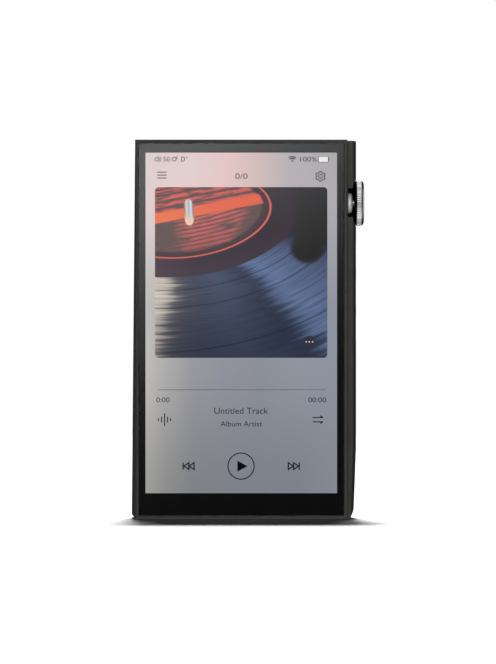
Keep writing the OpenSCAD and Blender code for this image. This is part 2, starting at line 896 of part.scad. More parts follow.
// Knurled head with a rounded outer rim, a bevelled and hollow back and a seat for the inlay
module knob_head() {
    rim = 1.2;
    back_bevel = 0.9;
    back_drop = 0.75;
    groove_depth = 0.16;
    hub_r = collar_r - 0.2;
    hollow_r = boss_r + 0.2;
    color("silver")
    difference() {
        turned() {
            translate([0, knob_x]) polygon([
                [shaft_r, 0],
                [hub_r, 0],
                [hub_r, recess_t],
                [hollow_r, recess_t],
                [hollow_r, 0],
                [knob_r - back_drop, 0],
                [knob_r, back_bevel],
                [knob_r, knob_t - rim],
                [knob_r - rim, knob_t],
                [shaft_r, knob_t]
            ]);
            translate([knob_r - rim, knob_end - rim]) circle(rim);
        }
        for (i = [0:knurl_count - 1]) translate([0, 0, knob_z]) rotate([i * 360 / knurl_count, 0, 0])
            translate([knob_x - 1, 0, knob_r]) rotate([45, 0, 0]) translate([0, -groove_depth, -groove_depth])
                cube([knob_t + 1 - rim * 0.4, 2 * groove_depth, 2 * groove_depth]);
        rod_x(inlay_r, knob_end - inlay_t, knob_end + 1, 0, knob_z);
        rod_x(1.6, shaft_end, knob_end, 0, knob_z);
    }
}

module knob_screw() {
    color("silver")
    difference() {
        union() {
            rod_x(1.5, shaft_end, knob_end - inlay_t - 0.1, 0, knob_z);
            rod_x(0.6, shaft_end - 2.2, shaft_end, 0, knob_z);
        }
        for (turn = [0, 90]) translate([knob_end - inlay_t - 0.1, 0, knob_z]) rotate([turn, 0, 0])
            cube([0.6, 0.35, 1.8], center = true);
    }
}

module knob_inlay() {
    color("gainsboro")
    turned() translate([0, knob_end - inlay_t]) polygon([
        [0, 0],
        [inlay_r, 0],
        [inlay_r, inlay_t - 0.2],
        [inlay_r - 0.4, inlay_t],
        [inlay_r - 0.8, inlay_t - 0.1],
        [0, inlay_t - 0.1]
    ]);
}

front_frame();
cover_glass();
glass_tape();
display_panel();
display_plate();
display_foam();
display_flex();
body_shell();
rear_cover();
rear_tape();
chassis_screws();
antenna_carrier();
main_board();
board_screws();
shield_can();
processor();
memory_chips();
logic_chip();
clock_oscillators();
wifi_module();
usb_c_shell();
usb_c_tongue();
digital_out_barrel();
digital_out_housing();
card_slot_cover();
card_slot_base();
audio_board();
jack_35_barrel();
jack_35_housing();
jack_35_terminals();
jack_44_barrel();
jack_44_housing();
jack_44_terminals();
dac_chips();
amp_chips();
output_relays();
filter_capacitors();
board_connectors();
board_flex();
battery_cell();
battery_tape();
battery_board();
battery_lead();
key_bracket();
key_board();
key_switches();
button_previous();
button_play();
button_next();
knob_bushing();
bushing_nut();
shaft_seal();
encoder_housing();
encoder_plunger();
knob_shaft();
knob_head();
knob_screw();
knob_inlay();
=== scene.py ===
import json
import math

import bmesh
import bpy
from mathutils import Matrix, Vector

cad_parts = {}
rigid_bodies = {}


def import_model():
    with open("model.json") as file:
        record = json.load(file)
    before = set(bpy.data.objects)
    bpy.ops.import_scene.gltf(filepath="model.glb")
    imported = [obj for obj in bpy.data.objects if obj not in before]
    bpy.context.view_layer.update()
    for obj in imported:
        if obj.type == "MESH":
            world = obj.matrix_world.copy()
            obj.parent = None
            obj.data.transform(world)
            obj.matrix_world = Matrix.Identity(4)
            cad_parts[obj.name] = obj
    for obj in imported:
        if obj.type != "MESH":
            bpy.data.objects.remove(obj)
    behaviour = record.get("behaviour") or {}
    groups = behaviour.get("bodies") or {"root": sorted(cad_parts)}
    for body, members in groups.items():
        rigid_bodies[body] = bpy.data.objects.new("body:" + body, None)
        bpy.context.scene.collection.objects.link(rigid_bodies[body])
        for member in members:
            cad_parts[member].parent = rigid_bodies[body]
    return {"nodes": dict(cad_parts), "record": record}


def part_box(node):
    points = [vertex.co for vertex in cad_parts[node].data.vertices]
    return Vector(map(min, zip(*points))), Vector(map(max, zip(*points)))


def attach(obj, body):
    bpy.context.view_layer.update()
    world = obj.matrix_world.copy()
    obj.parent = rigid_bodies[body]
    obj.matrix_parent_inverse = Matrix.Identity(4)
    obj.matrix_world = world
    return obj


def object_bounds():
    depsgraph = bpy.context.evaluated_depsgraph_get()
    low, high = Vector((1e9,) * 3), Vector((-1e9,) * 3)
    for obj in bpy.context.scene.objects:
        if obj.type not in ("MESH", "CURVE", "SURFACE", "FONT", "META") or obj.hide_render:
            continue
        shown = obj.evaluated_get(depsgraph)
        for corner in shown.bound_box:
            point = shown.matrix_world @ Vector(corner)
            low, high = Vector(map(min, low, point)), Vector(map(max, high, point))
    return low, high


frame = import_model()
cad_low, cad_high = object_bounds()

# The player stands on z = 0, its screen faces -Y and its knob points to +X. Metres, with MM for sizes.
MM = 0.001

# The lit screen, as in the CAD model
SCREEN_W = 62.26 * MM
SCREEN_H = 110.7 * MM
SCREEN_Z = 8.4 * MM
LAYER_T = 0.008 * MM
# One layer of the picture stands this far in front of the one behind it
LAYER_STEP = 1.6 * LAYER_T
# Layers of the picture, from the panel outwards
BACKGROUND, COVER, BASE, MARK = range(4)
# Brightness of the display, and how much the brightest reflection on the glass adds to it
GLOW = 1.04
REFLECTION = 0.089
# The share of the card's light that the cover glass mirrors straight on
GLASS_MIRROR = 0.032
# The painted shade on the shell's pocket wall starts here, and runs round the knob at this distance (mm)
POCKET_X = 34.6
POCKET_GAP = 0.3
# The painted dark rings on the knob, painted shade from the body on the inner edge of its ribs and a
# painted dark reflection on the bevel: how far they are from its inner and outer end (mm)
INNER_SHADE_RING = 0.85
OUTER_REFLECTION_RING = 0.55

# Camera: its distance to the front face, the height that it sees there and where it points
VIEW_DISTANCE = 1.2
VIEW_SPAN = 0.21567
VIEW_X = 0.00219
VIEW_Z = 0.0608
SENSOR = 36.0

# Floor: a disc, and the lamp and the suns that light it from above and behind (metres, degrees)
FLOOR_RADIUS = 0.86
FLOOR_CENTRE_Y = 0.1
FLOOR_LAMP_PLACE = (0.0, 0.338, 1.1)
FLOOR_LAMP_RADIUS = 0.081
FLOOR_LAMP_POWER = 46.0
SUN_TILT = -18.4
SUN_WIDTH = 8.0
# Each sun's sideways lean and its strength
SUNS = ((-3.2, 0.5), (0.0, 0.15), (3.2, 0.5))

# the nearly black colour of painted shade
PAINTED_SHADE_BLACK = (0.004, 0.004, 0.004, 1.0)
WHITE = (1.0, 1.0, 1.0, 1.0)

knob_low, knob_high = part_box("knob_head")
knob_z = (knob_low.z + knob_high.z) / 2
front_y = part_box("cover_glass")[0].y
panel_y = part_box("display_panel")[0].y
middle_z = (cad_low.z + cad_high.z) / 2


def srgb(red, green, blue):
    """A display colour from 0 to 255, as the linear colour that shaders take."""

    def linear(level):
        level /= 255
        return level / 12.92 if level <= 0.04045 else ((level + 0.055) / 1.055) ** 2.4

    return (linear(red), linear(green), linear(blue), 1.0)


def shade(color, factor):
    """A colour made lighter or darker."""
    return tuple(min(1.0, part * factor) for part in color[:3]) + (1.0,)


# ---- Node materials ----


class Value:
    """A number that varies over a surface. Arithmetic on it makes Math nodes."""

    def __init__(self, nodes, socket):
        self.nodes = nodes
        self.socket = socket

    def math(self, operation, *others):
        return self.nodes.math(operation, self, *others)

    def __add__(self, other):
        return self.math("ADD", other)

    def __radd__(self, other):
        return self.math("ADD", other)

    def __sub__(self, other):
        return self.math("SUBTRACT", other)

    def __rsub__(self, other):
        return self.nodes.math("SUBTRACT", other, self)

    def __mul__(self, other):
        return self.math("MULTIPLY", other)

    def __rmul__(self, other):
        return self.math("MULTIPLY", other)

    def __truediv__(self, other):
        return self.math("DIVIDE", other)

    def __rtruediv__(self, other):
        return self.nodes.math("DIVIDE", other, self)

    def __pow__(self, other):
        return self.math("POWER", other)

    def step(self, low, high):
        """0 below low, 1 above high and smooth between them. With low above high it falls."""
        return self.nodes.map_range(self, low, high)


class Nodes:
    """The node tree of one material, with short calls for the nodes used here."""

    def __init__(self, name):
        self.material = bpy.data.materials.new(name)
        self.material.use_nodes = True
        self.tree = self.material.node_tree
        self.tree.nodes.clear()

    def add(self, kind, inputs=(), **settings):
        node = self.tree.nodes.new("ShaderNode" + kind)
        for key, value in settings.items():
            setattr(node, key, value)
        for key, value in dict(inputs).items():
            self.plug(node.inputs[key], value)
        return node

    def plug(self, socket, value):
        if isinstance(value, Value):
            value = value.socket
        if isinstance(value, bpy.types.NodeSocket):
            self.tree.links.new(value, socket)
        else:
            socket.default_value = value

    def math(self, operation, *values):
        node = self.add("Math", dict(enumerate(values)), operation=operation)
        return Value(self, node.outputs[0])

    def map_range(self, value, low, high):
        node = self.add(
            "MapRange",
            {"Value": value, "From Min": low, "From Max": high},
            interpolation_type="SMOOTHSTEP",
        )
        return Value(self, node.outputs["Result"])

    def position(self):
        """A point of the surface, in the piece's own coordinates."""
        return self.add("TexCoord").outputs["Object"]

    def axes(self):
        """The three coordinates of a point, in millimetres."""
        split = self.add("SeparateXYZ", {0: self.position()})
        return [Value(self, split.outputs[i]) * (1 / MM) for i in range(3)]

    def point(self, x, y, z):
        """A texture coordinate made of three values."""
        return self.add("CombineXYZ", {0: x, 1: y, 2: z}).outputs[0]

    def noise(self, size, detail=2.0, stretch=(1, 1, 1), at=None):
        """Soft noise around 0.5, with features of a size in millimetres, stretched along axes."""
        scaled = self.add(
            "VectorMath",
            {0: at or self.position(), 1: [1 / (size * MM * part) for part in stretch]},
            operation="MULTIPLY",
        )
        node = self.add("TexNoise", {"Vector": scaled.outputs[0], "Scale": 1.0, "Detail": detail})
        return Value(self, node.outputs["Fac"])

    def cells(self, size):
        """Distance to the nearest of many scattered points, about 0 to 1."""
        node = self.add("TexVoronoi", {"Vector": self.position(), "Scale": 1 / (size * MM)})
        return Value(self, node.outputs["Distance"])

    def mix(self, factor, first, second, blend="MIX"):
        node = self.add("Mix", data_type="RGBA", blend_type=blend, clamp_factor=True, clamp_result=True)
        for socket, value in zip((node.inputs[0], node.inputs[6], node.inputs[7]), (factor, first, second)):
            self.plug(socket, value)
        return node.outputs[2]

    def ramp(self, value, stops):
        """A colour that follows a value through (place, colour) stops, with places from 0 to 1."""
        node = self.add("ValToRGB", {"Fac": value})
        elements = node.color_ramp.elements
        while len(elements) < len(stops):
            elements.new(0.5)
        for element, (place, color) in zip(elements, stops):
            element.position = place
            element.color = color
        return node.outputs["Color"]

    def rounded(self, width):
        """The surface's normal with its sharp edges rounded off, width in millimetres."""
        return self.add("Bevel", {"Radius": width * MM}, samples=6).outputs["Normal"]

    def edges(self, normal):
        """Where a rounded normal leaves the flat one: 0 on a flat, up to about 0.3 on an edge."""
        true_normal = self.add("NewGeometry").outputs["Normal"]
        node = self.add("VectorMath", {0: normal, 1: true_normal}, operation="DOT_PRODUCT")
        return 1 - Value(self, node.outputs["Value"])

    def bump(self, height, depth, normal=None):
        """A normal for a relief, depth in millimetres between a height of 0 and 1."""
        inputs = {"Height": height, "Distance": depth * MM, "Strength": 1.0}
        if normal is not None:
            inputs["Normal"] = normal
        return self.add("Bump", inputs).outputs["Normal"]

    def finish(self, shader):
        output = self.add("OutputMaterial")
        self.tree.links.new(shader, output.inputs["Surface"])
        return self.material


def pocket_painted_shade(n):
    """1 where painted shade darkens the walls of the pocket around the knob, and 0 on the rest of the
    shell.
    """
    x, y, z = n.axes()
    up = z - knob_z / MM
    reach = (knob_high.z - knob_low.z) / 2 / MM + POCKET_GAP
    radius = (y * y + up * up) ** 0.5
    return x.step(POCKET_X, POCKET_X + 0.05) * radius.step(reach, reach - 0.03)


def solid(name, color, rough, metallic=0.0, mottle=0.08, patch=5.0, grain=0.15, depth=0.002,
          stretch=(1, 1, 1), edge=0.12, wear=0.0, worn=(0.5, 0.5, 0.5, 1.0), shadow=None):
    """A solid material: mottled colour, uneven gloss, a fine grain in the relief and worn, rounded edges.

    shadow is a function that says where painted shade makes the surface nearly black.
    """
    n = Nodes(name)
    patches = n.noise(patch, detail=4.0)
    fine = n.noise(grain, detail=1.0, stretch=stretch)
    tint = n.mix(patches.step(0.25, 0.75), shade(color, 1 - mottle), shade(color, 1 + mottle))
    tint = n.mix(fine.step(0.3, 0.7) * mottle, tint, shade(color, 0.6))
    gloss = rough * (0.85 + 0.3 * n.noise(patch * 0.4, detail=3.0))
    normal = n.rounded(edge)
    if wear:
        rubbed = n.edges(normal).step(0.01, 0.12) * n.noise(1.3, detail=3.0).step(0.35, 0.75) * wear
        tint = n.mix(rubbed, tint, worn)
        gloss = gloss * (1 - 0.4 * rubbed)
    if shadow:
        # painted shade: nearly black where the shadow function says, such as in the knob's pocket
        tint = n.mix(shadow(n), tint, PAINTED_SHADE_BLACK)
    shader = n.add("BsdfPrincipled", {
        "Base Color": tint,
        "Roughness": gloss,
        "Metallic": metallic,
        "Normal": n.bump(fine, depth, normal),
    })
    return n.finish(shader.outputs[0])


def turned(name, color, rough, pitch, depth):
    """Bright metal faced on a lathe: fine rings around the knob's axis."""
    n = Nodes(name)
    _, y, z = n.axes()
    up = z - knob_z / MM
    radius = (y * y + up * up) ** 0.5
    rings = n.noise(pitch, detail=2.0, at=n.point(radius * MM, 0.0, 0.0))
    around = n.math("ARCTAN2", up, y)
    glint = n.noise(400.0, detail=2.0, at=n.point(around, 0.0, 0.0))
    tint = n.mix(rings.step(0.3, 0.7), shade(color, 0.9), shade(color, 1.08))
    shader = n.add("BsdfPrincipled", {
        "Base Color": tint,
        "Roughness": rough * (0.7 + 0.6 * glint),
        "Metallic": 1.0,
        "Normal": n.bump(rings, depth, n.rounded(0.06)),
    })
    return n.finish(shader.outputs[0])


def knob_painted_shade_rings(n):
    """1 on the knob's two painted dark rings: painted shade from the body on the inner edge of its ribs,
    and a painted dark reflection on the bevel at their outer end.
    """
    x = n.axes()[0]
    inner = (x - (knob_low.x / MM + INNER_SHADE_RING)).step(0.25, -0.15)
    bevel = (x - (knob_high.x / MM - OUTER_REFLECTION_RING)).math("ABSOLUTE").step(0.4, 0.15)
    return inner.math("MAXIMUM", bevel * 0.8)


def chrome(name, color, rough):
    """The knob's polished plating: hairline scratches, a slightly uneven gloss, and two rings of painted
    shade and painted dark reflection.
    """
    n = Nodes(name)
    scratches = n.noise(0.05, detail=3.0, stretch=(1, 9, 9))
    patches = n.noise(2.0, detail=3.0)
    tint = n.mix(patches, shade(color, 0.94), shade(color, 1.04))
    # painted shade and painted dark reflection: the two rings are tinted nearly black
    tint = n.mix(knob_painted_shade_rings(n) * 0.93, tint, srgb(16, 16, 16))
    shader = n.add("BsdfPrincipled", {
        "Base Color": tint,
        "Roughness": rough * (0.6 + 0.8 * n.noise(0.8, detail=3.0)),
        "Metallic": 1.0,
        "Normal": n.bump(scratches, 0.0004, n.rounded(0.05)),
    })
    return n.finish(shader.outputs[0])


def clear_glass(name):
    """Clear cover glass: a thin reflection, a little smudged, over what lies behind it."""
    n = Nodes(name)
    smudge = n.noise(9.0, detail=5.0, stretch=(1, 1, 1.6))
    gloss = n.add("BsdfGlossy", {
        "Color": n.mix(smudge, (0.96, 0.98, 1.0, 1.0), WHITE),
        "Roughness": smudge.step(0.4, 0.9) * 0.03 + 0.005,
        "Normal": n.bump(n.noise(30.0, detail=0.0), 0.002),
    })
    clear = n.add("BsdfTransparent", {"Color": WHITE})
    # its rear face is bonded to the screen, so only the front one mirrors
    fresnel = Value(n, n.add("Fresnel", {"IOR": 1.5}).outputs[0])
    front = 1 - Value(n, n.add("NewGeometry").outputs["Backfacing"])
    mixed = n.add("MixShader", {0: fresnel * front, 1: clear.outputs[0], 2: gloss.outputs[0]})
    return n.finish(mixed.outputs[0])


def black_glass(name):
    """Back-painted glass with a fine diagonal line pattern under the polish and light smudges."""
    n = Nodes(name)
    x, _, z = n.axes()
    lines = n.math("SINE", (x + z) * 9.0).step(-0.4, 0.8)
    smudge = n.noise(11.0, detail=5.0)
    shader = n.add("BsdfPrincipled", {
        "Base Color": n.mix(lines, srgb(17, 17, 19), srgb(24, 24, 27)),
        "Roughness": smudge.step(0.35, 0.9) * 0.12 + 0.04,
        "Normal": n.bump(n.noise(25.0, detail=0.0), 0.002, n.rounded(0.1)),
        "Coat Weight": 0.6,
        "Coat Roughness": 0.03,
    })
    return n.finish(shader.outputs[0])


def circuit_board(name, mask, trace):
    """Solder mask over copper: paler traces on a grid, tinned vias and a woven glass-fibre relief."""
    n = Nodes(name)
    x, _, z = n.axes()
    wander = n.noise(3.0, detail=1.0).math("ROUND") * 1.7
    rows = n.math("SINE", (z + wander) * 6.5).step(0.55, 0.75)
    columns = n.math("SINE", (x - wander) * 6.5).step(0.75, 0.9)
    copper = rows.math("MAXIMUM", columns) * n.noise(7.0).step(0.4, 0.5)
    vias = n.cells(1.9).step(0.14, 0.1)
    weave = n.math("SINE", x * 12.0) * n.math("SINE", z * 12.0)
    tint = n.mix(copper, n.mix(n.noise(12.0), shade(mask, 0.85), shade(mask, 1.15)), trace)
    tint = n.mix(vias, tint, srgb(190, 186, 170))
    shader = n.add("BsdfPrincipled", {
        "Base Color": tint,
        "Roughness": 0.32 + 0.12 * n.noise(2.0),
        "Metallic": vias * 0.9,
        "Normal": n.bump(copper + weave * 0.1, 0.01, n.rounded(0.1)),
    })
    return n.finish(shader.outputs[0])


def chip_package(name):
    """Moulded epoxy: a fine speckle and an uneven gloss, with no letters."""
    n = Nodes(name)
    speckle = n.noise(0.12, detail=2.0)
    shader = n.add("BsdfPrincipled", {
        "Base Color": n.mix(speckle.step(0.35, 0.7), srgb(30, 30, 32), srgb(46, 46, 48)),
        "Roughness": 0.42 + 0.15 * n.noise(1.5),
        "Normal": n.bump(speckle, 0.004, n.rounded(0.1)),
    })
    return n.finish(shader.outputs[0])


def flex_circuit(name):
    """Amber film with parallel copper tracks that show through it."""
    n = Nodes(name)
    tracks = n.math("SINE", n.axes()[0] * 12.0).step(0.0, 0.35)
    shader = n.add("BsdfPrincipled", {
        "Base Color": n.mix(tracks, srgb(150, 96, 34), srgb(196, 140, 62)),
        "Roughness": 0.3 + 0.15 * n.noise(3.0),
        "Normal": n.bump(tracks, 0.008),
        "Coat Weight": 0.4,
    })
    return n.finish(shader.outputs[0])


def pouch_foil(name):
    """The battery's laminated pouch: dull foil with soft creases."""
    n = Nodes(name)
    creases = n.noise(9.0, detail=6.0)
    shader = n.add("BsdfPrincipled", {
        "Base Color": n.mix(creases, srgb(150, 151, 154), srgb(196, 197, 200)),
        "Metallic": 0.85,
        "Roughness": 0.28 + 0.2 * n.noise(4.0),
        "Normal": n.bump(creases, 0.15, n.rounded(0.4)),
    })
    return n.finish(shader.outputs[0])


def lit_panel(name):
    """The screen's own glow where no picture covers it: even, with a faint pixel grid."""
    n = Nodes(name)
    x, _, z = n.axes()
    grid = n.math("SINE", x * 72.0) * n.math("SINE", z * 72.0)
    tint = n.mix(grid.step(-1.0, 1.0) * 0.2, srgb(110, 113, 122), srgb(140, 142, 150))
    shader = n.add("BsdfPrincipled", {
        "Base Color": n.mix(n.noise(15.0), srgb(8, 8, 9), srgb(14, 14, 15)),
        "Roughness": 0.2 + 0.1 * n.noise(6.0),
        "Emission Color": tint,
        "Emission Strength": 0.3,
    })
    return n.finish(shader.outputs[0])


# ---- The picture on the screen ----


def display_stops(*stops):
    """The stops of a ramp from places and display colours."""
    return [(place, srgb(*color)) for place, *color in stops]


def reflected(n, x, z):
    """How much of the brightest light the cover glass adds: little at the bottom, most at the top left.

    It follows a slanted line across the screen, of which lean and length are the slope and the size.
    """
    lean, length = 0.63, 142
    along = (z - lean * x) * (1 / length)
    stops = [(0.0, 0.028), (0.19, 0.036), (0.3, 0.066), (0.415, 0.124), (0.52, 0.247), (0.648, 0.41),
             (0.74, 0.61), (0.85, 0.82), (0.935, 0.98)]
    return n.ramp(along, [(place, (level, level, level, 1.0)) for place, level in stops])


def glow(n, tint):
    """A layer of the display: it shines by itself, with painted shade where the glass adds light of its
    own.

    This painted shade, the glass's reflection subtracted from its colour, is fixed on the screen, and is
    right for the light on the glass from the front.
    """
    x, _, z = n.axes()
    # painted shade: what the glass mirrors is subtracted from the display's colour, most at the top left
    tint = n.mix(REFLECTION, tint, reflected(n, x, z), blend="SUBTRACT")
    shader = n.add("BsdfPrincipled", {
        "Base Color": n.mix(n.noise(6.0), srgb(4, 4, 4), srgb(7, 7, 7)),
        "Roughness": 0.25 + 0.1 * n.noise(5.0),
        "Emission Color": tint,
        "Emission Strength": GLOW,
    })
    return n.finish(shader.outputs[0])


def backdrop(name):
    """The player app's background: a very soft blur, pink at the top left and blue-grey below."""
    n = Nodes(name)
    x, _, z = n.axes()
    across = x * (MM / SCREEN_W) + 0.5
    top = n.ramp(across, display_stops(
        (0.0, 222, 205, 205), (0.25, 224, 204, 203), (0.43, 226, 196, 194),
        (0.6, 206, 186, 184), (0.75, 181, 176, 180), (1.0, 172, 170, 173),
    ))
    middle = n.ramp(across, display_stops(
        (0.0, 190, 189, 187), (0.11, 174, 172, 173), (0.24, 153, 154, 159), (0.4, 145, 148, 158),
        (0.6, 141, 144, 152), (0.8, 144, 150, 161), (1.0, 141, 147, 159),
    ))
    bottom = n.ramp(across, display_stops(
        (0.0, 158, 157, 155), (0.11, 140, 140, 141), (0.25, 127, 128, 132),
        (0.5, 124, 128, 137), (0.8, 123, 129, 139), (1.0, 133, 136, 147),
    ))
    drift = 5.0 * (n.noise(30.0, detail=1.0) - 0.5)
    upper = n.mix((z + drift).step(64.0, 108.0), middle, top)
    whole = n.mix((z + drift).step(58.0, 4.0), upper, bottom)
    return glow(n, whole)


def record_picture(name, left, top):
    """The cover picture: a record seen close and low, drawn by the radius and angle on the disc.

    left and top are where the spindle stands, in millimetres. The label's edge has a radius of 1.
    """
    n = Nodes(name)
    x, _, z = n.axes()
    # the view is rolled a little, and depth grows upwards, so the disc's far side is squeezed
    roll = math.radians(8.3)
    far = 96.3
    label_size = 26.5
    squeeze = 195.4
    right = x - left
    below = top - z
    level = right * math.cos(roll) - below * math.sin(roll)
    near = right * math.sin(roll) + below * math.cos(roll) + far
    side = level / near * (far / label_size)
    ahead = (1 / far - 1 / near) * (squeeze * far / label_size)
    radius = (side * side + ahead * ahead) ** 0.5
    turn = n.math("ARCTAN2", ahead, side) / math.pi

    disc = record_grooves(n, radius, turn)
    runout = n.ramp(turn, display_stops(
        (0.0, 67, 59, 66), (0.2, 62, 54, 62), (0.5, 74, 63, 73), (0.65, 88, 74, 82),
    ))
    bands = n.noise(30.0, detail=3.0, at=n.point(radius, turn * 0.02, 0.0))
    runout = n.mix(bands.step(0.35, 0.65) * 0.35, runout, srgb(46, 40, 50))
    disc = n.mix(radius.step(1.325, 1.345), runout, disc)
    disc = n.mix(radius.step(1.03, 1.01), disc, record_label(n, side, ahead, radius))

    # the blurred pickup above the disc, at the right: a bar with a round end
    end = (((x - 21.6) / 5.6) ** 2 + ((z - 88.0) / 5.0) ** 2) ** 0.5
    pickup = end.step(1.2, 0.75).math("MAXIMUM", x.step(16.4, 19.4) * z.step(86.0, 90.0))
    disc = n.mix(pickup * z.step(112.0, 92.0), disc, srgb(40, 39, 41))

    # the spindle: a short bright pin with its reflection under it
    pin_half_w, pin_half_h = 1.6, 4.4
    pin_x = right - 0.15 - below * 0.05
    pin_z = (below - 0.6) / pin_half_h
    pin = ((pin_x / pin_half_w) ** 2 + (pin_z * pin_z) ** 2) ** 0.5
    steel = n.ramp((pin_x + 1.4) / 2.8, display_stops(
        (0.0, 150, 128, 128), (0.25, 222, 208, 190), (0.5, 166, 176, 184), (0.75, 214, 220, 240),
        (1.0, 120, 118, 140),
    ))
    steel = n.mix(below.step(0.5, 3.5), steel, srgb(232, 200, 176))
    disc = n.mix(pin.step(1.05, 0.85), disc, steel)
    return glow(n, disc)


def record_grooves(n, radius, turn):
    """The record's black surface: a sheen that turns with the angle, broken by fine rings."""
    ring = n.point(radius, turn * 0.05, 0.0)
    fine = n.noise(11.0, detail=4.0, at=ring)
    streak = n.noise(46.0, detail=3.0, at=ring)
    sheen = n.ramp(turn + 0.08 * (streak - 0.5), display_stops(
        (0.0, 62, 56, 62), (0.1, 49, 48, 50), (0.2, 47, 46, 50), (0.235, 64, 64, 88),
        (0.265, 80, 88, 118), (0.305, 88, 102, 134), (0.335, 93, 110, 146), (0.363, 101, 121, 160),
        (0.378, 92, 111, 147), (0.397, 62, 70, 93), (0.409, 60, 67, 88), (0.425, 66, 75, 97),
        (0.457, 76, 87, 110), (0.5, 73, 80, 99), (0.53, 82, 83, 95), (0.548, 108, 107, 110),
        (0.562, 182, 174, 165), (0.575, 208, 198, 186), (0.6, 216, 208, 198),
    ))
    # darker outwards, most of all under the pickup
    depth = radius.step(1.4, 2.5) * (0.15 + 0.4 * turn.step(0.38, 0.41) * turn.step(0.57, 0.54))
    sheen = n.mix(depth, sheen, srgb(20, 28, 44))
    sheen = n.mix(fine.step(0.6, 0.3) * 0.4, sheen, srgb(34, 40, 58))
    sheen = n.mix(fine.step(0.62, 0.8) * 0.45, sheen, srgb(150, 172, 212))
    # silent bands between the tracks: the distance to the nearest one
    gaps = (radius - 1.537).math("ABSOLUTE")
    for place in (1.8, 2.36):
        gaps = gaps.math("MINIMUM", (radius - place).math("ABSOLUTE"))
    return n.mix(gaps.step(0.012, 0.002) * 0.65, sheen, srgb(26, 32, 48))


def record_label(n, side, ahead, radius):
    """The label: one broad orange band, smeared red stripes and a thin ring, with no letters."""
    tilt = ahead + 0.09 * side - 0.045
    clouds = n.noise(60.0, detail=3.0, at=n.point(side, tilt, 0.0))
    dark = n.mix(clouds, srgb(78, 66, 68), srgb(122, 100, 98))
    red = srgb(204, 100, 94)
    # above the band: rows of blurred blobs
    rows = n.math("SINE", tilt * 36.0).step(-0.8, 0.1)
    blobs = n.noise(85.0, detail=2.0, at=n.point(side * 0.42, tilt, 0.0)).step(0.36, 0.54)
    upper = n.mix(rows * blobs, dark, red)
    # below it: stripes, a little bent by the turning disc
    bent = tilt * 0.8 + radius * 0.2
    stripes = n.math("SINE", bent * 74.0).step(-0.9, -0.1)
    ends = (side + tilt * 0.45).step(0.86, 0.72) * side.step(-0.25, -0.02)
    smear = n.noise(70.0, detail=3.0, at=n.point(side * 0.25, bent, 0.0)).step(0.32, 0.5)
    faded = n.mix(radius.step(0.2, 0.9), srgb(198, 104, 102), srgb(176, 94, 92))
    lower = n.mix(stripes * ends * smear, dark, faded)
    label = n.mix(tilt.step(0.0, 0.02), upper, lower)
    label = n.mix(radius.step(0.86, 0.92), label, srgb(76, 65, 69))
    band = tilt.math("ABSOLUTE").step(0.135, 0.115) * radius.step(0.93, 0.9)
    label = n.mix(band, label, n.mix(side.step(-0.9, 0.9), srgb(234, 124, 88), srgb(222, 104, 80)))
    ring = radius.step(0.98, 0.99) * radius.step(1.014, 1.004)
    return n.mix(ring, label, srgb(212, 104, 94))


def ink(name, color):
    """One colour of the interface, with the slight unevenness of a real panel."""
    n = Nodes(name)
    return glow(n, n.mix(n.noise(2.0), shade(color, 0.93), shade(color, 1.07)))


MATERIALS = {
    "frame_metal": solid("frame_metal", srgb(66, 66, 64), 0.34, metallic=1.0, wear=0.5,
                         worn=srgb(150, 150, 148)),
    # the shell's metal carries painted shade in the pocket around the knob
    "shell_metal": solid("shell_metal", srgb(62, 62, 59), 0.36, metallic=1.0, wear=0.4,
                         worn=srgb(135, 135, 132), shadow=pocket_painted_shade),
    "button_metal": solid("button_metal", srgb(58, 58, 57), 0.32, metallic=1.0, wear=0.6,
                          worn=srgb(150, 150, 148)),
    "cover_glass": clear_glass("cover_glass"),
    "rear_glass": black_glass("rear_glass"),
    "black_tape": solid("black_tape", srgb(11, 11, 12), 0.7, grain=0.3, depth=0.004),
    "screen": lit_panel("screen"),
    "sheet_steel": solid("sheet_steel", srgb(190, 189, 186), 0.3, metallic=1.0, stretch=(14, 1, 1)),
    "foam": solid("foam", srgb(52, 52, 54), 0.9, grain=0.35, depth=0.09, mottle=0.2),
    "amber_flex": flex_circuit("amber_flex"),
    "screw_steel": solid("screw_steel", srgb(178, 180, 184), 0.25, metallic=1.0, wear=0.5,
                         worn=srgb(220, 220, 220)),
    "antenna_plastic": solid("antenna_plastic", srgb(48, 48, 49), 0.55, grain=0.2, depth=0.006),
    "board": circuit_board("board", srgb(16, 58, 40), srgb(46, 104, 74)),
    "chip": chip_package("chip"),
    "nickel": solid("nickel", srgb(205, 202, 194), 0.22, metallic=1.0, stretch=(1, 1, 10)),
    "black_plastic": solid("black_plastic", srgb(34, 34, 35), 0.5, grain=0.25, depth=0.005),
    "gold_plate": solid("gold_plate", srgb(226, 186, 112), 0.2, metallic=1.0, mottle=0.05),
    "white_plastic": solid("white_plastic", srgb(216, 210, 196), 0.45, grain=0.25, depth=0.004),
    "capacitor": solid("capacitor", srgb(206, 158, 60), 0.4, patch=1.5, mottle=0.15),
    "foil": pouch_foil("foil"),
    "white_tape": solid("white_tape", srgb(214, 210, 200), 0.8, grain=0.4, depth=0.03),
    "lead": solid("lead", srgb(150, 30, 26), 0.45, grain=0.5, depth=0.004),
    # the knob's chrome carries painted shade and a painted dark reflection in two rings
    "knob_chrome": chrome("knob_chrome", srgb(226, 226, 226), 0.12),
    "collar_metal": solid("collar_metal", srgb(228, 228, 226), 0.45, metallic=0.2, mottle=0.04, edge=0.05),
    "knob_face": turned("knob_face", srgb(206, 206, 207), 0.2, 0.12, 0.004),
    "shaft_steel": solid("shaft_steel", srgb(190, 190, 190), 0.22, metallic=1.0, stretch=(8, 1, 1)),
    "seal_rubber": solid("seal_rubber", srgb(24, 24, 24), 0.7, grain=0.2, depth=0.006),
}


